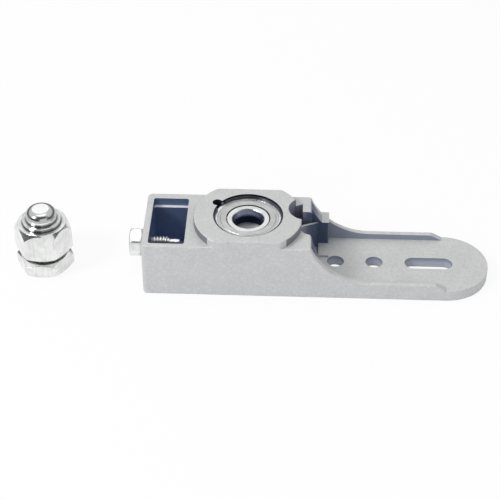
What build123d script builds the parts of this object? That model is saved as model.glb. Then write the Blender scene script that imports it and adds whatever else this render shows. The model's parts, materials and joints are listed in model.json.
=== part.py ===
from build123d import *
from math import cos, hypot, radians, sin, sqrt, tan
import os

# Bottom door pivot: a cast door arm with a shielded ball bearing and an end adjusting screw, and the hex
# floor pin with its jam nut that turns in the bearing. Millimetres, +Z up, +X along the arm's tongue.
# The origin is on the bearing axis, in the plane that the arm and the pin stand on.

# Arm casting: block, swept shoulder, side flanges and screw tongue
body_width = 36.0
body_height = 24.4
body_left = 42.5  # bearing axis to the left end face
corner_radius = 2.0
edge_radius = 0.6
shoulder_reach = 25.7  # bearing axis to where the top starts to sweep down
shoulder_radius = 1.0
sweep_radius = 27.0
flange_height = 7.3
flange_thickness = 2.4
flange_reach = 76.8  # bearing axis to the end of the flanges' top
plate_thickness = 4.7
tongue_reach = 99.6  # bearing axis to the round tip

# Screw holes and slot on the tongue's centre line
hole_diameter = 7.1
first_hole_reach = 36.35
hole_spacing = 16.15
slot_reach = 75.15  # bearing axis to the slot's middle
slot_length = 19.85

# Round pad with the bearing seat, and the notch that frees the retaining ring
pad_radius = 22.4
pad_rise = 3.4
bearing_sink = 1.5  # pad top to bearing face
seat_clearance = 0.02
relief_radius = 10.6
relief_depth = 1.0
notch_radius = 2.0
notch_angle = 148.0
notch_depth = 6.0

# Pocket behind the left end wall, with a ledge along its back side
end_wall = 2.7
front_wall = 2.3
back_wall = 3.5
pocket_length = 14.6
pocket_floor = 3.0
pocket_corner_radius = 1.0
ledge_width = 1.5
ledge_drop = 3.5

# Cored well between the lugs: a round lobe behind the web and a smaller one in front of it
back_lug_left = 22.3
back_lug_end = 26.2
back_lug_face = 7.4  # centre line to the back lug's inner face
front_lug_face = 7.7  # centre line to the front lug's inner face
front_taper_start = 25.2
front_taper_end = 30.0
back_lobe_radius = 7.6
back_lobe_reach = 24.0
back_lobe_offset = 5.2
front_lobe_radius = 4.0
front_lobe_reach = 25.6
post_face = 10.8
post_reach = 33.5
post_height = 16.5
web_thickness = 1.2
web_end_reach = 28.3  # bearing axis to where the web meets the post
web_root = 1.5  # how far the web runs into the casting at each end
floor_pad_length = 4.3
floor_pad_front = 2.6
floor_pad_rise = 0.8

# Shielded ball bearing, half-inch bore
bearing_bore = 12.7
bearing_outer = 28.575
bearing_width = 7.94
bore_chamfer = 0.4
outer_chamfer = 0.5
inner_land_radius = 8.6
inner_ring_sink = 0.35  # outer ring's face to the inner ring's
outer_land_radius = 11.9
ball_diameter = 3.969
ball_count = 9
ball_clearance = 0.03
shield_sheet = 0.4
shield_step = 0.65  # ring face to the shield's seat
shield_seat_radius = 12.6
shield_jog_radius = 11.3
shield_jog = 0.2
shield_gap = 0.45  # shield to inner ring
cage_sheet = 0.4
cage_band = 1.8
rivet_diameter = 0.8
rivet_head_diameter = 1.3
rivet_head_height = 0.25

# Retaining ring of flat wire
ring_width = 1.3
ring_thickness = 0.9
ring_bite = 0.4  # how far the wire reaches into its groove
ring_gap_angle = 24.0
groove_clearance = 0.05

# Adjusting screw in the left end wall
screw_diameter = 6.35
thread_clearance = 0.05
screw_head_flats = 11.11
screw_head_height = 5.5
screw_head_angle = 21.0  # how the head's corners stand round the screw's axis
screw_head_standoff = 1.0
screw_shank_length = 10.8
dog_diameter = 3.9
dog_length = 4.5
screw_tip_chamfer = 0.6

# Floor pin and jam nut, standing to the left of the arm
pin_distance = 85.1
pin_flats = 20.64
pin_hex_height = 13.5
pin_rim_ratio = 0.965  # chamfer circle on the pin's shoulder over its width across flats
pin_rim_angle = 58.0
collar_diameter = 15.8
collar_height = 1.6
pin_diameter = 12.65
pin_length = 6.5  # from the hex, the collar included
pin_crown_radius = 3.0
stud_diameter = 14.29
stud_chamfer = 1.0
nut_gap = 1.9  # nut to the pin's hex
nut_thickness = 6.5
rim_ratio = 0.94  # chamfer circle of any other hex rim over its width across flats
rim_angle = 30.0

# Levels and places that follow from the sizes above
half_width = body_width / 2
pad_top = body_height + pad_rise
bearing_top = pad_top - bearing_sink
bearing_bottom = bearing_top - bearing_width
bearing_middle = bearing_bottom + bearing_width / 2
seat_radius = bearing_outer / 2 + seat_clearance
ring_radius = seat_radius + ring_bite
groove_radius = ring_radius + groove_clearance
groove_top = bearing_top + ring_thickness + groove_clearance
channel_half_width = half_width - flange_thickness
sweep_drop = body_height - flange_height
sweep_foot = shoulder_reach + sqrt(sweep_radius**2 - (sweep_radius - sweep_drop) ** 2)
tip_centre = tongue_reach - half_width
front_lobe_offset = front_lobe_radius - front_lug_face
lobe_run = front_lobe_reach - back_lobe_reach
lobe_fall = front_lobe_offset - back_lobe_offset
lobe_span = hypot(lobe_run, lobe_fall)
cusp_along = (lobe_span**2 + back_lobe_radius**2 - front_lobe_radius**2) / (2 * lobe_span)
cusp_aside = sqrt(back_lobe_radius**2 - cusp_along**2)
cusp_reach = back_lobe_reach + (cusp_along * lobe_run + cusp_aside * lobe_fall) / lobe_span
cusp_offset = back_lobe_offset + (cusp_along * lobe_fall - cusp_aside * lobe_run) / lobe_span
web_run = web_end_reach - cusp_reach
web_rise = post_face - cusp_offset
web_length = hypot(web_run, web_rise)
screw_height = body_height / 2
pitch_radius = (bearing_bore + bearing_outer) / 4
ball_radius = ball_diameter / 2
nut_radius = stud_diameter / 2 + thread_clearance
pin_shoulder = nut_thickness + nut_gap + pin_hex_height


def hex_turning(across_flats, low, high, top_ratio=rim_ratio, top_angle=rim_angle):
    """Half section that turns the rims of a hex bar back to its chamfer circles."""
    low_radius = rim_ratio * across_flats / 2
    top_radius = top_ratio * across_flats / 2
    outer_radius = across_flats / 2 / cos(radians(30))
    low_rim = (outer_radius - low_radius) * tan(radians(rim_angle))
    top_rim = (outer_radius - top_radius) * tan(radians(top_angle))
    return [
        (0, low),
        (low_radius, low),
        (outer_radius, low + low_rim),
        (outer_radius, high - top_rim),
        (top_radius, high),
        (0, high),
    ]


os.makedirs("parts", exist_ok=True)

# Cast arm
with BuildPart() as housing:
    # Side view of the block, its swept shoulder and the flanges, across the whole width
    with BuildSketch(Plane.XZ):
        with BuildLine():
            Polyline(
                (shoulder_reach, body_height),
                (-body_left, body_height),
                (-body_left, 0),
                (tip_centre, 0),
                (tip_centre, plate_thickness),
                (flange_reach, flange_height),
                (sweep_foot, flange_height),
            )
            TangentArc((sweep_foot, flange_height), (shoulder_reach, body_height), tangent=(-1, 0))
        make_face()
        fillet(vertices().group_by(Axis.Y)[-1].sort_by(Axis.X)[-1], shoulder_radius)
    extrude(amount=half_width, both=True)
    fillet(housing.edges().filter_by(Axis.Z).group_by(Axis.X)[0], corner_radius)
    # Round pad, cut off flush with the block's sides
    with BuildSketch(Plane.XY.offset(body_height)):
        Circle(pad_radius)
        Rectangle(2 * pad_radius, body_width, mode=Mode.INTERSECT)
    extrude(amount=pad_rise)
    # Cast rounds on the pad's rim and along the block's and flanges' outer top edges
    fillet(housing.edges().group_by(Axis.Z)[-1], edge_radius)
    for side in (0, -1):
        side_face = housing.faces().filter_by(Plane.XZ).sort_by(Axis.Y)[side]
        side_edges = side_face.edges().filter_by(Axis.Z, reverse=True)
        fillet(side_edges.filter_by_position(Axis.Z, flange_height, body_height), edge_radius)
    # Tongue plate with its full round tip
    with BuildSketch():
        Rectangle(tip_centre, body_width, align=(Align.MIN, Align.CENTER))
        with Locations((tip_centre, 0)):
            Circle(half_width)
    extrude(amount=plate_thickness)
    # Post on the back flange
    with BuildSketch():
        with Locations((back_lug_end, post_face)):
            Rectangle(post_reach - back_lug_end, half_width - post_face, align=(Align.MIN, Align.MIN))
    extrude(amount=post_height)
    # Channel between the flanges and the cored well between the lugs, down to the plate
    with BuildSketch(Plane.XY.offset(plate_thickness)):
        with Locations((post_reach, 0)):
            Rectangle(tongue_reach - post_reach, 2 * channel_half_width, align=(Align.MIN, Align.CENTER))
        with BuildLine():
            Polyline(
                (front_taper_start, -front_lug_face),
                (front_taper_end, -channel_half_width),
                (post_reach, -channel_half_width),
                (post_reach, post_face),
                (back_lug_end, post_face),
                (back_lug_end, back_lug_face),
                (front_lobe_reach, back_lug_face),
                (front_lobe_reach, -front_lug_face),
                close=True,
            )
        make_face()
        with Locations((front_lobe_reach, front_lobe_offset)):
            Circle(front_lobe_radius)
        with Locations((back_lobe_reach, back_lobe_offset)):
            Circle(back_lobe_radius)
        with Locations((back_lug_left, back_lug_face)):
            Rectangle(
                post_reach - back_lug_left,
                body_width,
                align=(Align.MIN, Align.MIN),
                mode=Mode.SUBTRACT,
            )
        with Locations((back_lug_end, 0)):
            Rectangle(post_reach - back_lug_end, post_face, align=(Align.MIN, Align.MIN))
    extrude(amount=body_height, mode=Mode.SUBTRACT)
    # Web from the cusp between the lobes down to the post
    web_along = (web_run, web_rise, 0)
    web_across = (web_rise, -web_run, 0)
    with BuildSketch(Plane((cusp_reach, cusp_offset, 0), x_dir=web_along, z_dir=web_across)):
        with BuildLine():
            Polyline(
                (-web_root, plate_thickness),
                (-web_root, body_height),
                (0, body_height),
                (web_length, post_height),
                (web_length + web_root, post_height),
                (web_length + web_root, plate_thickness),
                close=True,
            )
        make_face()
    extrude(amount=web_thickness / 2, both=True)
    # Low pad on the floor in front of the post
    with BuildSketch(Plane.XY.offset(plate_thickness)):
        with Locations((post_reach, floor_pad_front)):
            Rectangle(floor_pad_length, post_face - floor_pad_front, align=(Align.MAX, Align.MIN))
    extrude(amount=floor_pad_rise)
    # Seat with its relieved floor and the groove of the retaining ring
    with BuildSketch(Plane.XZ):
        with BuildLine():
            Polyline(
                (0, bearing_bottom - relief_depth),
                (relief_radius, bearing_bottom - relief_depth),
                (relief_radius, bearing_bottom),
                (seat_radius, bearing_bottom),
                (seat_radius, bearing_top),
                (groove_radius, bearing_top),
                (groove_radius, groove_top),
                (seat_radius, groove_top),
                (seat_radius, pad_top),
                (0, pad_top),
                close=True,
            )
        make_face()
    revolve(axis=Axis.Z, mode=Mode.SUBTRACT)
    # Removal notch
    with BuildSketch(Plane.XY.offset(pad_top)):
        with PolarLocations(seat_radius + notch_radius / 2, 1, start_angle=notch_angle):
            Circle(notch_radius)
    extrude(amount=-notch_depth, mode=Mode.SUBTRACT)
    # Adjuster pocket, stepped along its back side
    with BuildSketch(Plane.XY.offset(pocket_floor)):
        with Locations((end_wall - body_left, front_wall - half_width)):
            Rectangle(
                pocket_length,
                body_width - front_wall - back_wall - ledge_width,
                align=(Align.MIN, Align.MIN),
            )
        fillet(vertices(), pocket_corner_radius)
    extrude(amount=body_height, mode=Mode.SUBTRACT)
    with BuildSketch(Plane.XY.offset(body_height)):
        with Locations((end_wall - body_left, half_width - back_wall)):
            Rectangle(pocket_length, body_width / 2, align=(Align.MIN, Align.MAX))
        fillet(vertices(), pocket_corner_radius)
    extrude(amount=-ledge_drop, mode=Mode.SUBTRACT)
    # Tapped hole of the adjusting screw
    with BuildSketch(Plane.YZ.offset(-body_left)):
        with Locations((0, screw_height)):
            Circle(screw_diameter / 2 + thread_clearance)
    extrude(amount=end_wall + pocket_corner_radius, mode=Mode.SUBTRACT)
    # Screw holes and slot
    with BuildSketch():
        with Locations((first_hole_reach, 0), (first_hole_reach + hole_spacing, 0)):
            Circle(hole_diameter / 2)
        with Locations((slot_reach, 0)):
            SlotOverall(slot_length, hole_diameter)
    extrude(amount=plate_thickness, mode=Mode.SUBTRACT)
housing.part.label = "housing"
export_step(housing.part, "parts/housing.step")

# Snap ring of flat wire over the bearing, open at the removal notch
ring_start = radians(notch_angle + ring_gap_angle / 2)
ring_outward = (cos(ring_start), sin(ring_start), 0)
ring_across = (sin(ring_start), -cos(ring_start), 0)
with BuildPart() as retaining_ring:
    with BuildSketch(Plane((0, 0, 0), x_dir=ring_outward, z_dir=ring_across)):
        with Locations((ring_radius, bearing_top)):
            Rectangle(ring_width, ring_thickness, align=(Align.MAX, Align.MIN))
    revolve(axis=Axis.Z, revolution_arc=360 - ring_gap_angle)
retaining_ring.part.label = "retaining_ring"
export_step(retaining_ring.part, "parts/retaining_ring.step")

# Outer ring of the bearing, stepped at both faces for the shields
with BuildPart() as bearing_outer_ring:
    with BuildSketch(Plane.XZ):
        with BuildLine():
            Polyline(
                (outer_land_radius, bearing_bottom + shield_step),
                (shield_seat_radius, bearing_bottom + shield_step),
                (shield_seat_radius, bearing_bottom),
                (bearing_outer / 2, bearing_bottom),
                (bearing_outer / 2, bearing_top),
                (shield_seat_radius, bearing_top),
                (shield_seat_radius, bearing_top - shield_step),
                (outer_land_radius, bearing_top - shield_step),
                close=True,
            )
        make_face()
    revolve(axis=Axis.Z)
    chamfer(edges().filter_by(GeomType.CIRCLE).group_by(SortBy.RADIUS)[-1], outer_chamfer)
    with Locations((0, 0, bearing_middle)):
        Torus(pitch_radius, ball_radius + ball_clearance, mode=Mode.SUBTRACT)
bearing_outer_ring.part.label = "bearing_outer_ring"
export_step(bearing_outer_ring.part, "parts/bearing_outer_ring.step")

# Inner ring of the bearing, whose bore takes the floor pin
with BuildPart() as bearing_inner_ring:
    with BuildSketch(Plane.XY.offset(bearing_bottom + inner_ring_sink)):
        Circle(inner_land_radius)
        Circle(bearing_bore / 2, mode=Mode.SUBTRACT)
    extrude(amount=bearing_width - 2 * inner_ring_sink)
    chamfer(edges().filter_by(GeomType.CIRCLE).group_by(SortBy.RADIUS)[0], bore_chamfer)
    with Locations((0, 0, bearing_middle)):
        Torus(pitch_radius, ball_radius + ball_clearance, mode=Mode.SUBTRACT)
bearing_inner_ring.part.label = "bearing_inner_ring"
export_step(bearing_inner_ring.part, "parts/bearing_inner_ring.step")

# Balls
with BuildPart() as bearing_balls:
    with Locations((0, 0, bearing_middle)):
        with PolarLocations(pitch_radius, ball_count):
            Sphere(ball_radius)
bearing_balls.part.label = "bearing_balls"
export_step(bearing_balls.part, "parts/bearing_balls.step")

# Pressed ribbon cage: two like halves, arched over the balls and flat between them
cage_reach = ball_radius + 2 * ball_clearance + cage_sheet
rivet_start = 180 / ball_count
for node, side in (("bearing_cage_upper", 1), ("bearing_cage_lower", -1)):
    with BuildPart() as cage_half:
        with Locations((0, 0, bearing_middle)):
            with PolarLocations(pitch_radius, ball_count):
                Cylinder(cage_reach, cage_band, rotation=(0, 90, 0))
        with BuildSketch(Plane.XY.offset(bearing_middle)):
            Circle(pitch_radius + cage_band / 2)
            Circle(pitch_radius - cage_band / 2, mode=Mode.SUBTRACT)
        extrude(amount=side * cage_sheet)
        with BuildSketch(Plane.XY.offset(bearing_middle)):
            Circle(pitch_radius + cage_band / 2)
            Circle(pitch_radius - cage_band / 2, mode=Mode.SUBTRACT)
        extrude(amount=side * cage_reach, mode=Mode.INTERSECT)
        with Locations((0, 0, bearing_middle)):
            with PolarLocations(pitch_radius, ball_count):
                Cylinder(cage_reach - cage_sheet, 2 * cage_band, rotation=(0, 90, 0), mode=Mode.SUBTRACT)
            with PolarLocations(pitch_radius, ball_count, start_angle=rivet_start):
                Cylinder(rivet_diameter / 2 + ball_clearance, 2 * cage_reach, mode=Mode.SUBTRACT)
    cage_half.part.label = node
    export_step(cage_half.part, f"parts/{node}.step")

# Rivets that hold the cage halves together
with BuildPart() as cage_rivets:
    with Locations((0, 0, bearing_middle)):
        with PolarLocations(pitch_radius, ball_count, start_angle=rivet_start):
            Cylinder(rivet_diameter / 2, 2 * cage_sheet)
    for side in (1, -1):
        with Locations((0, 0, bearing_middle + side * (cage_sheet + rivet_head_height / 2))):
            with PolarLocations(pitch_radius, ball_count, start_angle=rivet_start):
                Cylinder(rivet_head_diameter / 2, rivet_head_height)
cage_rivets.part.label = "cage_rivets"
export_step(cage_rivets.part, "parts/cage_rivets.step")

# Sheet shields on the steps of the outer ring, pressed a little outwards inside their rims
for node, seat, side in (
    ("upper_shield", bearing_top - shield_step, 1),
    ("lower_shield", bearing_bottom + shield_step, -1),
):
    with BuildPart() as shield:
        with BuildSketch(Plane.XZ):
            with BuildLine():
                Polyline(
                    (shield_seat_radius - seat_clearance, seat),
                    (shield_jog_radius + shield_jog, seat),
                    (shield_jog_radius, seat + side * shield_jog),
                    (inner_land_radius + shield_gap, seat + side * shield_jog),
                    (inner_land_radius + shield_gap, seat + side * (shield_sheet + shield_jog)),
                    (shield_jog_radius, seat + side * (shield_sheet + shield_jog)),
                    (shield_jog_radius + shield_jog, seat + side * shield_sheet),
                    (shield_seat_radius - seat_clearance, seat + side * shield_sheet),
                    close=True,
                )
            make_face()
        revolve(axis=Axis.Z)
    shield.part.label = node
    export_step(shield.part, f"parts/{node}.step")

# Hex-head adjusting screw with a dog point
head_face = -body_left - screw_head_standoff
screw_axis = Axis((0, 0, screw_height), (1, 0, 0))
with BuildPart() as adjusting_screw:
    with BuildSketch(Plane.YZ.offset(head_face)):
        with Locations((0, screw_height)):
            RegularPolygon(screw_head_flats / 2, 6, major_radius=False, rotation=screw_head_angle)
    extrude(amount=-screw_head_height)
    with BuildSketch(Plane((0, 0, screw_height), x_dir=(0, 0, 1), z_dir=(0, 1, 0))):
        with BuildLine():
            Polyline(hex_turning(screw_head_flats, head_face - screw_head_height, head_face), close=True)
        make_face()
    revolve(axis=screw_axis, mode=Mode.INTERSECT)
    with BuildSketch(Plane.YZ.offset(head_face)):
        with Locations((0, screw_height)):
            Circle(screw_diameter / 2)
    extrude(amount=screw_shank_length)
    chamfer(adjusting_screw.edges().group_by(Axis.X)[-1], screw_tip_chamfer)
    with BuildSketch(Plane.YZ.offset(head_face + screw_shank_length)):
        with Locations((0, screw_height)):
            Circle(dog_diameter / 2)
    extrude(amount=dog_length)
adjusting_screw.part.label = "adjusting_screw"
export_step(adjusting_screw.part, "parts/adjusting_screw.step")

# Floor pin: hex body, collar and domed pin above it and threaded stud below, turned from one bar
pin_axis = Axis((-pin_distance, 0, 0), (0, 0, 1))
pin_section = Plane((-pin_distance, 0, 0), x_dir=(1, 0, 0), z_dir=(0, -1, 0))
with BuildPart() as pivot_pin:
    with BuildSketch(Plane.XY.offset(nut_thickness + nut_gap)):
        with Locations((-pin_distance, 0)):
            RegularPolygon(pin_flats / 2, 6, major_radius=False)
    extrude(amount=pin_hex_height)
    with BuildSketch(pin_section):
        with BuildLine():
            Polyline(
                hex_turning(pin_flats, nut_thickness + nut_gap, pin_shoulder, pin_rim_ratio, pin_rim_angle),
                close=True,
            )
        make_face()
    revolve(axis=pin_axis, mode=Mode.INTERSECT)
    for turned_diameter, reach in ((collar_diameter, collar_height), (pin_diameter, pin_length)):
        with BuildSketch(Plane.XY.offset(pin_shoulder)):
            with Locations((-pin_distance, 0)):
                Circle(turned_diameter / 2)
        extrude(amount=reach)
    fillet(pivot_pin.edges().group_by(Axis.Z)[-1], pin_crown_radius)
    with BuildSketch():
        with Locations((-pin_distance, 0)):
            Circle(stud_diameter / 2)
    extrude(amount=nut_thickness + nut_gap)
    chamfer(pivot_pin.edges().group_by(Axis.Z)[0], stud_chamfer)
pivot_pin.part.label = "pivot_pin"
export_step(pivot_pin.part, "parts/pivot_pin.step")

# Jam nut on the stud
with BuildPart() as jam_nut:
    with BuildSketch():
        with Locations((-pin_distance, 0)):
            RegularPolygon(pin_flats / 2, 6, major_radius=False)
    extrude(amount=nut_thickness)
    with BuildSketch(pin_section):
        with BuildLine():
            Polyline(hex_turning(pin_flats, 0, nut_thickness), close=True)
        make_face()
    revolve(axis=pin_axis, mode=Mode.INTERSECT)
    with BuildSketch():
        with Locations((-pin_distance, 0)):
            Circle(nut_radius)
    extrude(amount=nut_thickness, mode=Mode.SUBTRACT)
jam_nut.part.label = "jam_nut"
export_step(jam_nut.part, "parts/jam_nut.step")
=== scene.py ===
import bmesh
import bpy
import json
from math import radians
from mathutils import Matrix, Vector


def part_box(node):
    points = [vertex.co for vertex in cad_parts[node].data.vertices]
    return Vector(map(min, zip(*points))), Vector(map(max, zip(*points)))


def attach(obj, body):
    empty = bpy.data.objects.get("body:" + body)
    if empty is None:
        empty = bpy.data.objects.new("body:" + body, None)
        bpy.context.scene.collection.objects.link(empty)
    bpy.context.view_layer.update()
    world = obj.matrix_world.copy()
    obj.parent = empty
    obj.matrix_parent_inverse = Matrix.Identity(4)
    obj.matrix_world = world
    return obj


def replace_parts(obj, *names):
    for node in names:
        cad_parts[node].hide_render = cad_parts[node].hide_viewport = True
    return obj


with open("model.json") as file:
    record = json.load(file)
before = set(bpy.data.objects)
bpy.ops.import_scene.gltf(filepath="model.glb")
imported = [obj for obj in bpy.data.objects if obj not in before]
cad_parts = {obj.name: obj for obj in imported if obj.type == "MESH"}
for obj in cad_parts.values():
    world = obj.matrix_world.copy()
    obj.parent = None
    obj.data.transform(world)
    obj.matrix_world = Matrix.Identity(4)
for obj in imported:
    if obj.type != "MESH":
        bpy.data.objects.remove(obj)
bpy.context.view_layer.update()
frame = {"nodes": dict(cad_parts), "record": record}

# The cast arm: one iron casting with the bearing block, the side flanges and the screw tongue.
# It is sprayed with satin aluminium paint. Its tops are painted lighter than its sides as painted light,
# and the upright walls inside the pocket, the well and the seat are painted dark as painted shade, those
# of the channel and holes a lighter painted shade. Painted highlights lie on its corners, where there is
# also wear, on the ledge in the pocket and on the seat floor under the bearing's bore.
PAINT_TOP_LIT = (0.617, 0.628, 0.615)
PAINT_SIDE_SHADED = (0.56, 0.566, 0.58)
PAINT_SHADE = (0.46, 0.468, 0.49)
PAINT_FLECK = (0.75, 0.755, 0.74)
PAINT_RUBBED_HIGHLIGHT = (0.72, 0.73, 0.72)
LEDGE_HIGHLIGHT = (0.95, 0.95, 0.94)
CHANNEL_WALL_SHADE = (0.27, 0.3, 0.38)
HOLE_FOOT_SHADE = (0.45, 0.48, 0.55)
PAD_SHADE = (0.2, 0.21, 0.235)
LOBE_SHADE = (0.29, 0.3, 0.38)
CORE_MOUTH_SHADE = (0.1, 0.14, 0.25)
CORE_DEEP_SHADE = (0.22, 0.33, 0.6)
WELL_SHADE = (0.045, 0.058, 0.095)
SEAT_SHADE = (0.012, 0.015, 0.03)
SEAT_FLOOR_LIGHT = (0.92, 0.93, 0.97)
CLOUD_SHARE = 0.25  # how much of its colour each effect brings
PIT_SHARE = 0.45
FLECK_SHARE = 0.35
RUBBED_HIGHLIGHT_SHARE = 0.8
WELL_SHARE = 0.6
NOISE_RANGE = (0.3, 0.7)  # levels of the grain or the clouds, where an effect begins and is full
PIT_LEVELS = (0.5, 0.3)
FLECK_LEVELS = (0.5, 0.7)
CORE_LEVELS = (0.12, 0.42)  # levels of open sky
DEEP_SHADE_LEVELS = (0.36, 0.16)
TOP_LEVELS = (0.3, 0.8)  # how far a face looks up, for the painted top light and for the walls that take painted shade
UPRIGHT_LEVELS = (0.75, 0.45)
CORNER_LEVELS = (0.97, 0.8)  # cosine of the turn at a corner
PAINT_ROUGHNESS = (0.42, 0.56)
PAINT_METALLIC = 0.15
PAINT_SPECULAR = 0.3
SIDE_DEPTH = 0.0022  # from the casting's outside to where its inside walls may begin
END_DEPTH = 0.0013
TIP_DEPTH = 0.0116
SEAT_LIGHT_REACH = 0.012  # from the bearing's axis
SEAT_REACH = 0.0162
NOTCH_REACH = 0.0205
PAD_RADIUS = 0.0224
PAD_BAND = 0.0004
LOBE_FULL = 0.021  # along the arm
LOBE_END = 0.0255
STEP_LEFT = 0.029
STEP_RIGHT = 0.0327
WELL_END = 0.0338
LEDGE_RIGHT = -0.0245
LEDGE_LOW = 0.02  # heights
LEDGE_HIGH = 0.0215
STEP_TOP = 0.0056
HOLE_LIGHT = 0.0022  # heights where the lighter painted shade at the foot of the hole walls turns into the darker one
HOLE_DARK = 0.0042


def coat(node, finish):
    """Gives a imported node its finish."""
    for slot in frame["nodes"][node].material_slots:
        slot.material = finish


def new_material(name):
    """A fresh node material, its tree and its shader."""
    material = bpy.data.materials.new(name)
    material.use_nodes = True
    return material, material.node_tree, material.node_tree.nodes["Principled BSDF"]


def add(tree, kind, **settings):
    """A node of that kind; settings name its properties, or else its inputs."""
    node = tree.nodes.new(kind)
    for key, value in settings.items():
        if hasattr(node, key):
            setattr(node, key, value)
        else:
            node.inputs[key.replace("_", " ").title()].default_value = value
    return node


def calculate(tree, operation, first, second=0.0):
    """A sum of one or two values, each a socket or a number."""
    sum_node = add(tree, "ShaderNodeMath", operation=operation)
    for socket, value in zip(sum_node.inputs, (first, second)):
        if isinstance(value, (int, float)):
            socket.default_value = value
        else:
            tree.links.new(value, socket)
    return sum_node.outputs["Value"]


def ramp(tree, source, low, high, low_value=0.0, high_value=1.0):
    """A smooth step of a value between two levels."""
    step = add(
        tree,
        "ShaderNodeMapRange",
        interpolation_type="SMOOTHSTEP",
        from_min=low,
        from_max=high,
        to_min=low_value,
        to_max=high_value,
    )
    tree.links.new(source, step.inputs["Value"])
    return step.outputs["Result"]


def blend_colour(tree, mask, first, second):
    """The first colour where the mask is 0 and the second where it is 1."""
    mix = add(tree, "ShaderNodeMix", data_type="RGBA")
    tree.links.new(mask, mix.inputs["Factor"])
    for label, colour in (("A", first), ("B", second)):
        socket = next(s for s in mix.inputs if s.name == label and s.type == "RGBA")
        if isinstance(colour, tuple):
            socket.default_value = (*colour, 1.0)
        else:
            tree.links.new(colour, socket)
    return next(s for s in mix.outputs if s.type == "RGBA")


def layered(tree, ground, *layers):
    """A ground colour with other colours laid over it in turn, each where its mask says."""
    for mask, colour in layers:
        ground = blend_colour(tree, mask, ground, colour)
    return ground


def bumped(tree, height, strength, distance, under):
    """A normal that follows a height, over another normal."""
    bump = add(tree, "ShaderNodeBump", strength=strength, distance=distance)
    tree.links.new(height, bump.inputs["Height"])
    tree.links.new(under, bump.inputs["Normal"])
    return bump.outputs["Normal"]


def own_place(tree):
    """Where a spot lies in the frame of its piece."""
    return add(tree, "ShaderNodeTexCoord").outputs["Object"]


def apart(tree, vector):
    """The three parts of a vector, by letter."""
    parts = add(tree, "ShaderNodeSeparateXYZ")
    tree.links.new(vector, parts.inputs[0])
    return parts.outputs


def within(tree, value, low, high, mask=1.0):
    """A mask kept only where a value lies between two limits."""
    above = calculate(tree, "GREATER_THAN", value, low)
    below = calculate(tree, "LESS_THAN", value, high)
    return calculate(tree, "MULTIPLY", mask, calculate(tree, "MULTIPLY", above, below))


def from_axis(tree, across, along):
    """How far a spot is from an upright axis."""
    squares = [calculate(tree, "POWER", part, 2.0) for part in (across, along)]
    return calculate(tree, "SQRT", calculate(tree, "ADD", *squares))


def new_group(name, inputs, outputs):
    """A shader node group with named number inputs and named outputs."""
    group = bpy.data.node_groups.new(name, "ShaderNodeTree")
    for label, value in inputs.items():
        socket = group.interface.new_socket(label, in_out="INPUT", socket_type="NodeSocketFloat")
        socket.default_value = value
    for label, kind in outputs.items():
        group.interface.new_socket(label, in_out="OUTPUT", socket_type=kind)
    return group, group.nodes.new("NodeGroupInput"), group.nodes.new("NodeGroupOutput")


def place(tree, group, **values):
    """The outputs of a group that is placed in a material with its own values."""
    return add(tree, "ShaderNodeGroup", node_tree=group, **values).outputs


def grain_group():
    """Fine grain of a cast, sprayed or plated surface, with broad clouds over it."""
    group, entry, leave = new_group(
        "surface_grain",
        {"Grain Scale": 1500.0, "Cloud Scale": 90.0},
        {"Grain": "NodeSocketFloat", "Cloud": "NodeSocketFloat"},
    )
    spot = own_place(group)
    for label in ("Grain", "Cloud"):
        noise = add(group, "ShaderNodeTexNoise", detail=3.0, roughness=0.6)
        group.links.new(spot, noise.inputs["Vector"])
        group.links.new(entry.outputs[label + " Scale"], noise.inputs["Scale"])
        group.links.new(noise.outputs["Fac"], leave.inputs[label])
    return group


def shelter_group():
    """How open a spot is to its surroundings: 1 on a free face, near 0 deep in a recess of its piece."""
    group, entry, leave = new_group("open_sky", {"Reach": 0.02}, {"Sky": "NodeSocketFloat"})
    shelter = add(group, "ShaderNodeAmbientOcclusion", samples=16, only_local=True)
    group.links.new(entry.outputs["Reach"], shelter.inputs["Distance"])
    group.links.new(shelter.outputs["AO"], leave.inputs["Sky"])
    return group


def corner_group():
    """A normal that turns over each corner, and a mask of where it turns."""
    group, entry, leave = new_group(
        "worn_corner", {"Radius": 0.0004}, {"Corner": "NodeSocketFloat", "Normal": "NodeSocketVector"}
    )
    rounded = add(group, "ShaderNodeBevel", samples=8)
    flat = add(group, "ShaderNodeNewGeometry")
    turned = add(group, "ShaderNodeVectorMath", operation="DOT_PRODUCT")
    group.links.new(entry.outputs["Radius"], rounded.inputs["Radius"])
    group.links.new(rounded.outputs["Normal"], turned.inputs[0])
    group.links.new(flat.outputs["Normal"], turned.inputs[1])
    group.links.new(ramp(group, turned.outputs["Value"], *CORNER_LEVELS), leave.inputs["Corner"])
    group.links.new(rounded.outputs["Normal"], leave.inputs["Normal"])
    return group


surface_grain = grain_group()
open_sky = shelter_group()
worn_corner = corner_group()
silver_paint, tree, shader = new_material("silver_paint")
grain = place(tree, surface_grain, grain_scale=900.0, cloud_scale=120.0)
sky = place(tree, open_sky, reach=0.02)["Sky"]
corner = place(tree, worn_corner, radius=0.0004)
spot = apart(tree, own_place(tree))
reach = from_axis(tree, spot["X"], spot["Y"])
facing = apart(tree, add(tree, "ShaderNodeNewGeometry").outputs["Normal"])

arm_low, arm_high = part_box("housing")
inside_left = arm_low.x + END_DEPTH
inside_right = arm_high.x - TIP_DEPTH
between_sides = within(tree, spot["Y"], arm_low.y + SIDE_DEPTH, arm_high.y - SIDE_DEPTH)
upright = ramp(tree, calculate(tree, "ABSOLUTE", facing["Z"]), *UPRIGHT_LEVELS)
wall = within(tree, spot["X"], inside_left, inside_right, mask=between_sides)
wall = calculate(tree, "MULTIPLY", upright, wall)
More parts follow.
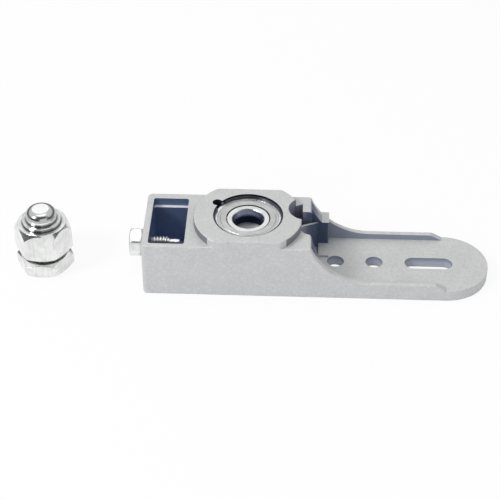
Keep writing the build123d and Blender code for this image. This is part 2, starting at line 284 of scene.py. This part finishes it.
# Painted highlight on the ledge along the pocket's back wall.
ledge = within(tree, spot["X"], inside_left, LEDGE_RIGHT, mask=between_sides)
ledge = within(tree, spot["Z"], LEDGE_LOW, LEDGE_HIGH, mask=ledge)
notch = within(tree, spot["X"], inside_left, 0.0, mask=within(tree, reach, 0.0, NOTCH_REACH))
seat = calculate(tree, "MAXIMUM", within(tree, reach, 0.0, SEAT_REACH), notch)
well = within(tree, spot["X"], 0.0, WELL_END, mask=WELL_SHARE)
lobe = within(tree, spot["X"], 0.0, LOBE_END, mask=ramp(tree, spot["X"], LOBE_END, LOBE_FULL))
step = within(tree, spot["X"], STEP_LEFT, inside_right, mask=within(tree, spot["Z"], 0.0, STEP_TOP))
# Painted shade on the channel and hole walls, lighter at the foot of the holes.
channel_and_hole_shade = blend_colour(tree, ramp(tree, spot["Z"], HOLE_LIGHT, HOLE_DARK), HOLE_FOOT_SHADE, CHANNEL_WALL_SHADE)
# Painted shade for the inside walls and deep floors: it follows how open a spot is, darkest in the well
# and seat, grey in the lobe, dark on the pad's edge wall, and lighter on the low step and in the channel
# and holes.
inside = layered(
    tree,
    blend_colour(tree, ramp(tree, sky, *CORE_LEVELS), CORE_DEEP_SHADE, CORE_MOUTH_SHADE),
    (well, WELL_SHADE),
    (lobe, LOBE_SHADE),
    (within(tree, reach, PAD_RADIUS - PAD_BAND, PAD_RADIUS + PAD_BAND), PAD_SHADE),
    (seat, SEAT_SHADE),
    (step, PAINT_SHADE),
    (ramp(tree, spot["X"], STEP_RIGHT, WELL_END), channel_and_hole_shade),
)
# The paint: tops painted lighter than sides as painted light, its own clouds, pits and flecks, a painted
# highlight with wear on corners, a painted highlight on the ledge, painted light on the seat floor, and
# painted shade on inside walls and deep floors.
paint = layered(
    tree,
    blend_colour(tree, ramp(tree, facing["Z"], *TOP_LEVELS), PAINT_SIDE_SHADED, PAINT_TOP_LIT),
    (ramp(tree, grain["Cloud"], *NOISE_RANGE, CLOUD_SHARE, 0.0), PAINT_SHADE),
    (ramp(tree, grain["Grain"], *PIT_LEVELS, 0.0, PIT_SHARE), PAINT_SHADE),
    (ramp(tree, grain["Grain"], *FLECK_LEVELS, 0.0, FLECK_SHARE), PAINT_FLECK),
    (calculate(tree, "MULTIPLY", corner["Corner"], RUBBED_HIGHLIGHT_SHARE), PAINT_RUBBED_HIGHLIGHT),
    (ledge, LEDGE_HIGHLIGHT),
    # painted light on the seat floor seen through the bearing's bore
    (within(tree, reach, 0.0, SEAT_LIGHT_REACH), SEAT_FLOOR_LIGHT),
    (wall, inside),
    (ramp(tree, sky, *DEEP_SHADE_LEVELS), inside),
)
tree.links.new(paint, shader.inputs["Base Color"])
tree.links.new(ramp(tree, grain["Grain"], *NOISE_RANGE, *PAINT_ROUGHNESS), shader.inputs["Roughness"])
cast_skin = bumped(tree, grain["Cloud"], strength=0.06, distance=0.0003, under=corner["Normal"])
cast_skin = bumped(tree, grain["Grain"], strength=0.2, distance=0.0001, under=cast_skin)
tree.links.new(cast_skin, shader.inputs["Normal"])
shader.inputs["Metallic"].default_value = PAINT_METALLIC
shader.inputs["Specular IOR Level"].default_value = PAINT_SPECULAR
coat("housing", silver_paint)

# The ball bearing: hardened steel rings, ground bright, with nine balls between them.
# The outer ring is a push fit in the arm's seat; the inner ring turns with the floor pin, and its
# bore is painted dark below its upper edge as painted shade, with a painted lit grey near the top.
RING_BRIGHT = (0.88, 0.89, 0.89)
RING_DULL = (0.72, 0.73, 0.74)
RING_SHADE = (0.025, 0.03, 0.045)
BORE_LIT_GREY = (0.5, 0.55, 0.72)
BORE_SHADE = (0.012, 0.016, 0.04)
BORE_MARGIN = 0.0001
BORE_DARK_AT = -0.00033  # height above the middle of the bore
BORE_GREY_AT = 0.00187
METAL_CLOUD = 220.0
MARK_SHARE = 0.4  # of the turning marks in the cloudy brightness
SHEEN_LEVELS = (0.5, 0.9)
RECESS_LEVELS = (0.85, 0.45)  # levels of open sky
ROUGH_LEAST = 0.8  # over the finish's own roughness
ROUGH_MOST = 1.25


def turning_group():
    """Fine rings left by turning or grinding about an upright axis."""
    group, entry, leave = new_group(
        "turning_marks", {"Centre X": 0.0, "Mark Scale": 6000.0}, {"Marks": "NodeSocketFloat"}
    )
    spot = apart(group, own_place(group))
    across = calculate(group, "SUBTRACT", spot["X"], entry.outputs["Centre X"])
    reach = from_axis(group, across, spot["Y"])
    noise = add(group, "ShaderNodeTexNoise", noise_dimensions="1D", scale=1.0, detail=2.0)
    group.links.new(calculate(group, "MULTIPLY", reach, entry.outputs["Mark Scale"]), noise.inputs["W"])
    group.links.new(noise.outputs["Fac"], leave.inputs["Marks"])
    return group


def metal(
    name,
    bright,
    dull,
    shade,
    roughness,
    grain_scale,
    corner_radius,
    centre=0.0,
    shelter=0.004,
    metallic=1.0,
    rubbed_highlight=1.0,
):
    """Bare or plated metal with tool marks, cloudy brightness, painted shade in its recesses and a
    painted highlight with wear on its corners.
    """
    material, tree, shader = new_material(name)
    grain = place(tree, surface_grain, grain_scale=grain_scale, cloud_scale=METAL_CLOUD)
    marks = place(tree, turning_marks, centre_x=centre)["Marks"]
    sky = place(tree, open_sky, reach=shelter)["Sky"]
    corner = place(tree, worn_corner, radius=corner_radius)
    cloud = calculate(tree, "ADD", calculate(tree, "MULTIPLY", marks, MARK_SHARE), grain["Cloud"])
    # The metal's own cloudy brightness, a painted highlight with wear on corners, and painted shade in
    # recesses.
    colour = layered(
        tree,
        blend_colour(tree, ramp(tree, cloud, *SHEEN_LEVELS), dull, bright),
        (calculate(tree, "MULTIPLY", corner["Corner"], rubbed_highlight), bright),
        (ramp(tree, sky, *RECESS_LEVELS), shade),
    )
    tree.links.new(colour, shader.inputs["Base Color"])
    rough = ramp(tree, grain["Grain"], *NOISE_RANGE, roughness * ROUGH_LEAST, roughness * ROUGH_MOST)
    tree.links.new(rough, shader.inputs["Roughness"])
    normal = bumped(tree, marks, strength=0.12, distance=0.00002, under=corner["Normal"])
    normal = bumped(tree, grain["Grain"], strength=0.1, distance=0.00003, under=normal)
    tree.links.new(normal, shader.inputs["Normal"])
    shader.inputs["Metallic"].default_value = metallic
    return material


def lay_over(material, mask, colour):
    """Lays one more colour over a finished metal, where the mask says."""
    tree = material.node_tree
    socket = tree.nodes["Principled BSDF"].inputs["Base Color"]
    tree.links.new(blend_colour(tree, mask, socket.links[0].from_socket, colour), socket)


turning_marks = turning_group()
ground_steel = metal(
    "ground_steel",
    RING_BRIGHT,
    RING_DULL,
    RING_SHADE,
    roughness=0.3,
    grain_scale=2600.0,
    corner_radius=0.0002,
    shelter=0.02,
)
mounts = {mount["name"]: mount for mount in frame["record"]["mounts"]}
bore_middle = mounts["pivot_bore"]["pos_m"][2]
bore_reach = mounts["pivot_bore"]["dims"]["r_mm"] / 1000 + BORE_MARGIN
# Painted shade in the inner ring's bore: dark low down, grey near its upper edge.
tree = ground_steel.node_tree
spot = apart(tree, own_place(tree))
lit = ramp(tree, spot["Z"], bore_middle + BORE_DARK_AT, bore_middle + BORE_GREY_AT)
in_bore = within(tree, from_axis(tree, spot["X"], spot["Y"]), 0.0, bore_reach)
lay_over(ground_steel, in_bore, blend_colour(tree, lit, BORE_SHADE, BORE_LIT_GREY))
for node in ("bearing_outer_ring", "bearing_inner_ring", "bearing_balls"):
    coat(node, ground_steel)

# The shields and the ball cage: pressed from thin steel strip, duller than the rings.
# The shields snap into the outer ring; the cage halves are riveted together round the balls.
STRIP_BRIGHT = (0.66, 0.67, 0.66)
STRIP_DULL = (0.54, 0.55, 0.55)
STRIP_SHADE = (0.06, 0.065, 0.08)
pressed_steel = metal(
    "pressed_steel",
    STRIP_BRIGHT,
    STRIP_DULL,
    STRIP_SHADE,
    roughness=0.4,
    grain_scale=1600.0,
    corner_radius=0.00015,
)
for node in ("upper_shield", "lower_shield", "bearing_cage_upper", "bearing_cage_lower", "cage_rivets"):
    coat(node, pressed_steel)

# The retaining ring: flat spring wire, blackened in oil.
# It springs into the groove above the bearing, with its gap at the removal notch.
WIRE_BRIGHT = (0.09, 0.095, 0.115)
WIRE_DULL = (0.05, 0.052, 0.068)
WIRE_SHADE = (0.008, 0.009, 0.014)
spring_steel = metal(
    "spring_steel",
    WIRE_BRIGHT,
    WIRE_DULL,
    WIRE_SHADE,
    roughness=0.42,
    grain_scale=1400.0,
    corner_radius=0.00015,
)
coat("retaining_ring", spring_steel)

# The adjusting screw: a zinc-plated hex-head screw through the arm's end wall.
# Its rolled thread runs along the shank, up to the plain dog point.
ZINC_BRIGHT = (0.88, 0.89, 0.88)
ZINC_DULL = (0.7, 0.71, 0.7)
ZINC_SHADE = (0.02, 0.022, 0.03)
THREAD_SHADE = (0.35, 0.36, 0.37)
ZINC_METALLIC = 0.92
SCREW_HEAD = 0.0051  # from the screw's outer end to the start of its thread
SCREW_POINT = 0.0045  # from the end of its thread to its tip
SCREW_RADIUS = 0.003175
SCREW_PITCH = 0.00127
THREAD_DEPTH = 0.6  # over the pitch
RIDGE_HALF_WIDTH = 0.48
TAPER_TURNS = 0.5
MERGE_DISTANCE = 2e-6
ROUND_SLACK = 1.001  # over the shank's radius
SHARP_ANGLE = radians(28)
scene = bpy.context.scene


def thread_tree():
    """A ridge of triangular section wound up a shank, thinning out at both ends."""
    tree = bpy.data.node_groups.new("rolled_thread", "GeometryNodeTree")
    names = {}
    for label, kind in (
        ("Root Radius", "NodeSocketFloat"),
        ("Pitch", "NodeSocketFloat"),
        ("Turns", "NodeSocketFloat"),
        ("Depth", "NodeSocketFloat"),
        ("Finish", "NodeSocketMaterial"),
    ):
        names[label] = tree.interface.new_socket(label, in_out="INPUT", socket_type=kind).identifier
    tree.interface.new_socket("Thread", in_out="OUTPUT", socket_type="NodeSocketGeometry")
    size = tree.nodes.new("NodeGroupInput").outputs
    spiral = add(tree, "GeometryNodeCurveSpiral", resolution=48, reverse=True)
    for label in ("Start Radius", "End Radius"):
        tree.links.new(size["Root Radius"], spiral.inputs[label])
    tree.links.new(size["Turns"], spiral.inputs["Rotations"])
    tree.links.new(calculate(tree, "MULTIPLY", size["Turns"], size["Pitch"]), spiral.inputs["Height"])
    upright = add(tree, "GeometryNodeSetCurveNormal", mode="Z_UP")
    tree.links.new(spiral.outputs["Curve"], upright.inputs["Curve"])
    diamond = add(tree, "GeometryNodeCurvePrimitiveCircle", resolution=4, radius=1.0)
    stretch = add(tree, "ShaderNodeCombineXYZ", z=1.0)
    tree.links.new(size["Depth"], stretch.inputs["X"])
    tree.links.new(calculate(tree, "MULTIPLY", size["Pitch"], RIDGE_HALF_WIDTH), stretch.inputs["Y"])
    section = add(tree, "GeometryNodeTransform")
    tree.links.new(diamond.outputs["Curve"], section.inputs["Geometry"])
    tree.links.new(stretch.outputs["Vector"], section.inputs["Scale"])
    along = add(tree, "GeometryNodeSplineParameter").outputs["Factor"]
    from_end = calculate(tree, "MINIMUM", along, calculate(tree, "SUBTRACT", 1.0, along))
    taper = calculate(tree, "MULTIPLY", from_end, size["Turns"])
    taper = calculate(tree, "DIVIDE", calculate(tree, "MINIMUM", taper, TAPER_TURNS), TAPER_TURNS)
    ridge = add(tree, "GeometryNodeCurveToMesh", fill_caps=True)
    tree.links.new(upright.outputs["Curve"], ridge.inputs["Curve"])
    tree.links.new(section.outputs["Geometry"], ridge.inputs["Profile Curve"])
    tree.links.new(taper, ridge.inputs["Scale"])
    solid = add(tree, "GeometryNodeRealizeInstances")
    tree.links.new(ridge.outputs["Mesh"], solid.inputs["Geometry"])
    finish = add(tree, "GeometryNodeSetMaterial")
    tree.links.new(solid.outputs["Geometry"], finish.inputs["Geometry"])
    tree.links.new(size["Finish"], finish.inputs["Material"])
    tree.links.new(finish.outputs["Geometry"], tree.nodes.new("NodeGroupOutput").inputs["Thread"])
    return tree, names


def plated_piece(name, mesh, body):
    """A finished mesh as a zinc-plated piece that moves with a body."""
    piece = bpy.data.objects.new(name, mesh)
    scene.collection.objects.link(piece)
    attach(piece, body)
    return piece


def wind_thread(name, body, finish, shank, radius, pitch, length):
    """A thread on a shank, half a pitch short of it at both ends, as a plain mesh on the body."""
    depth = pitch * THREAD_DEPTH
    maker = bpy.data.objects.new(name + "_maker", bpy.data.meshes.new(name + "_maker"))
    scene.collection.objects.link(maker)
    wind = maker.modifiers.new("wind", "NODES")
    wind.node_group = rolled_thread
    for label, value in (
        ("Root Radius", radius - depth),
        ("Pitch", pitch),
        ("Turns", length / pitch - 1),
        ("Depth", depth),
        ("Finish", finish),
    ):
        wind[thread_inputs[label]] = value
    bpy.context.view_layer.update()
    made = maker.evaluated_get(bpy.context.evaluated_depsgraph_get())
    mesh = bpy.data.meshes.new_from_object(made)
    bpy.data.objects.remove(maker)
    mesh.name = name
    mesh.transform(shank @ Matrix.Translation((0, 0, pitch / 2)))
    plated_piece(name, mesh, body)


def necked_copy(node, name, body, finish, shank, radius, pitch, length):
    """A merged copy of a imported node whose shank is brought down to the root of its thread."""
    root = radius - pitch * THREAD_DEPTH
    inward = shank.inverted()
    mesh = frame["nodes"][node].data.copy()
    mesh.name = name
    mesh.attributes.remove(mesh.attributes["custom_normal"])
    work = bmesh.new()
    work.from_mesh(mesh)
    bmesh.ops.remove_doubles(work, verts=work.verts, dist=MERGE_DISTANCE)
    for vert in work.verts:
        local = inward @ vert.co
        reach = local.xy.length
        on_length = -MERGE_DISTANCE <= local.z <= length + MERGE_DISTANCE
        if on_length and root < reach <= radius * ROUND_SLACK:
            local.xy *= root / reach
            vert.co = shank @ local
    work.to_mesh(mesh)
    work.free()
    mesh.shade_smooth()
    mesh.set_sharp_from_angle(angle=SHARP_ANGLE)
    mesh.materials.clear()
    mesh.materials.append(finish)
    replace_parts(plated_piece(name, mesh, body), node)


screw_zinc = metal(
    "screw_zinc",
    ZINC_BRIGHT,
    ZINC_DULL,
    THREAD_SHADE,
    roughness=0.12,
    grain_scale=2000.0,
    corner_radius=0.0018,
    shelter=0.0008,
    metallic=ZINC_METALLIC,
    rubbed_highlight=0.0,
)
rolled_thread, thread_inputs = thread_tree()
screw_low, screw_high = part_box("adjusting_screw")
screw_start = Vector((screw_low.x + SCREW_HEAD, 0, (screw_low.z + screw_high.z) / 2))
screw_shank = Matrix.Translation(screw_start) @ Matrix.Rotation(radians(90), 4, "Y")
screw_thread = (screw_shank, SCREW_RADIUS, SCREW_PITCH, screw_high.x - SCREW_POINT - screw_start.x)
wind_thread("screw_thread", "adjuster", screw_zinc, *screw_thread)
necked_copy("adjusting_screw", "end_screw", "adjuster", screw_zinc, *screw_thread)

# The floor pin: turned from hex bar, with a round pin on top and a threaded stud below; its crown
# carries a painted highlight on the flat and painted shade round the shoulder. It stands on its jam nut,
# beside the arm, and is zinc-plated like the screw.
STUD_RADIUS = 0.007145
STUD_PITCH = 0.001411
STUD_LENGTH = 0.0084
CROWN_HIGHLIGHT = (0.97, 0.97, 0.965)
CROWN_SHADE = (0.5, 0.505, 0.505)
CROWN_HEIGHT = 0.003
CROWN_FLAT = 0.0033  # from the pin's axis
CROWN_SHOULDER = 0.0037
pin_axis = mounts["floor_pin"]["pos_m"][0]
pin_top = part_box("pivot_pin")[1].z
pin_zinc = metal(
    "pin_zinc",
    ZINC_BRIGHT,
    ZINC_DULL,
    ZINC_SHADE,
    roughness=0.18,
    grain_scale=2000.0,
    corner_radius=0.0003,
    centre=pin_axis,
    metallic=ZINC_METALLIC,
)
# Painted highlight on the crown's flat and painted shade round its shoulder.
tree = pin_zinc.node_tree
spot = apart(tree, own_place(tree))
reach = from_axis(tree, calculate(tree, "SUBTRACT", spot["X"], pin_axis), spot["Y"])
crown = blend_colour(tree, ramp(tree, reach, CROWN_FLAT, CROWN_SHOULDER), CROWN_HIGHLIGHT, CROWN_SHADE)
lay_over(pin_zinc, calculate(tree, "GREATER_THAN", spot["Z"], pin_top - CROWN_HEIGHT), crown)
stud_thread = (Matrix.Translation((pin_axis, 0, 0)), STUD_RADIUS, STUD_PITCH, STUD_LENGTH)
wind_thread("stud_thread", "pin", pin_zinc, *stud_thread)
necked_copy("pivot_pin", "floor_pin", "pin", pin_zinc, *stud_thread)

# The jam nut: a thin hex nut of the same bar size, chamfered on both faces.
# It locks the stud at the height that the door needs.
coat("jam_nut", pin_zinc)

# The studio: a white floor under even, soft light, seen at the photograph's angle.
# The floor stays white to the eye and keeps a faint shadow. Metal mirrors a room with a dark
# front, a bright window at the right of it, grey walls and a white panel behind and above.
FLOOR_HALF = 3.0
FLOOR_WHITE = (0.93, 0.93, 0.93)
FLOOR_ROUGHNESS = 0.9
FLOOR_GLOW = 0.88
FLOOR_NEAR = 0.1  # from the bearing's axis; beyond it the mirrored floor fades
FLOOR_FAR = 0.4
FLOOR_FADE = 0.25
SKY_LIGHT = 0.6
WALL_GREY = 0.15
FRONT_DARK = 0.03
FRONT_LEVELS = (-0.45, 0.0)  # as parts of a direction
PANEL_LEVELS = (0.3, 0.55)
WINDOW_RIGHT = 0.75
WINDOW_TOP = 0.6
WINDOW_NEAR = -0.3
CAMERA_LENS = 100.8
CAMERA_TURN = 2.09
CAMERA_HEIGHT = 38.73
CAMERA_ROLL = 0.13
CAMERA_OFFSET = (0.00079, 0.00738, 0.5879)


def seen_as(tree, mirrored_level):
    """1 for what the eye or a see-through surface looks at, a level for a reflection, and 0 for light."""
    path = add(tree, "ShaderNodeLightPath").outputs
    direct = calculate(tree, "MAXIMUM", path["Is Camera Ray"], path["Is Transmission Ray"])
    reflected = calculate(tree, "MULTIPLY", path["Is Glossy Ray"], mirrored_level)
    return calculate(tree, "ADD", direct, reflected)


def soft_lamp(name, place_at, size, power, aim=(0, 0, 0), mirrored=True):
    """A square soft box that faces a point, seen in reflections or not."""
    light = bpy.data.lights.new(name, "AREA")
    light.size = size
    light.energy = power
    lamp = bpy.data.objects.new(name, light)
    lamp.visible_glossy = mirrored
    lamp.location = place_at
    lamp.rotation_euler = (Vector(aim) - Vector(place_at)).to_track_quat("-Z", "Y").to_euler()
    scene.collection.objects.link(lamp)


scene.view_settings.view_transform = "Standard"
floor_corners = [(x * FLOOR_HALF, y * FLOOR_HALF, 0) for x, y in ((-1, -1), (1, -1), (1, 1), (-1, 1))]
floor_mesh = bpy.data.meshes.new("floor")
floor_mesh.from_pydata(floor_corners, [], [(0, 1, 2, 3)])
floor = bpy.data.objects.new("floor", floor_mesh)
scene.collection.objects.link(floor)
white_floor, tree, shader = new_material("white_floor")
shader.inputs["Base Color"].default_value = (*FLOOR_WHITE, 1)
shader.inputs["Roughness"].default_value = FLOOR_ROUGHNESS
shader.inputs["Specular IOR Level"].default_value = 0.0
spot = apart(tree, own_place(tree))
mirrored = ramp(tree, from_axis(tree, spot["X"], spot["Y"]), FLOOR_NEAR, FLOOR_FAR, 1.0, FLOOR_FADE)
surface = add(tree, "ShaderNodeMixShader")
tree.links.new(calculate(tree, "MULTIPLY", seen_as(tree, mirrored), FLOOR_GLOW), surface.inputs["Fac"])
tree.links.new(shader.outputs["BSDF"], surface.inputs[1])
tree.links.new(add(tree, "ShaderNodeEmission").outputs["Emission"], surface.inputs[2])
tree.links.new(surface.outputs["Shader"], tree.nodes["Material Output"].inputs["Surface"])
floor_mesh.materials.append(white_floor)

world = bpy.data.worlds.new("white_room")
world.use_nodes = True
scene.world = world
tree = world.node_tree
room = tree.nodes["Background"]
room.inputs["Color"].default_value = (1, 1, 1, 1)
towards = apart(tree, add(tree, "ShaderNodeTexCoord").outputs["Generated"])
behind = ramp(tree, towards["Y"], *FRONT_LEVELS)
panel = calculate(tree, "MULTIPLY", behind, ramp(tree, towards["Z"], *PANEL_LEVELS))
walls = ramp(tree, towards["Y"], *FRONT_LEVELS, FRONT_DARK, WALL_GREY)
window = within(tree, towards["X"], 0.0, WINDOW_RIGHT)
window = within(tree, towards["Z"], 0.0, WINDOW_TOP, mask=window)
window = within(tree, towards["Y"], -1.0, WINDOW_NEAR, mask=window)
mirrored = calculate(tree, "MAXIMUM", calculate(tree, "MAXIMUM", walls, panel), window)
above_sky = calculate(tree, "SUBTRACT", mirrored, SKY_LIGHT)
shown = seen_as(tree, calculate(tree, "DIVIDE", above_sky, 1 - SKY_LIGHT))
shown = calculate(tree, "MULTIPLY", shown, 1 - SKY_LIGHT)
tree.links.new(calculate(tree, "ADD", shown, SKY_LIGHT), room.inputs["Strength"])

soft_lamp("key_box", place_at=(-0.78, -0.42, 0.78), size=0.3, power=5.2)
soft_lamp("top_box", place_at=(-0.1, 0.2, 1.1), size=0.6, power=1.6)
soft_lamp("front_box", place_at=(-0.2, -1.0, 0.4), size=0.6, power=1.4, aim=(0, 0, 0.01), mirrored=False)

camera_data = bpy.data.cameras.new("camera")
camera_data.lens = CAMERA_LENS
camera = bpy.data.objects.new("camera", camera_data)
scene.collection.objects.link(camera)
camera.matrix_world = (
    Matrix.Rotation(radians(CAMERA_TURN), 4, "Z")
    @ Matrix.Rotation(radians(90 - CAMERA_HEIGHT), 4, "X")
    @ Matrix.Rotation(radians(CAMERA_ROLL), 4, "Z")
    @ Matrix.Translation(CAMERA_OFFSET)
)
scene.camera = camera
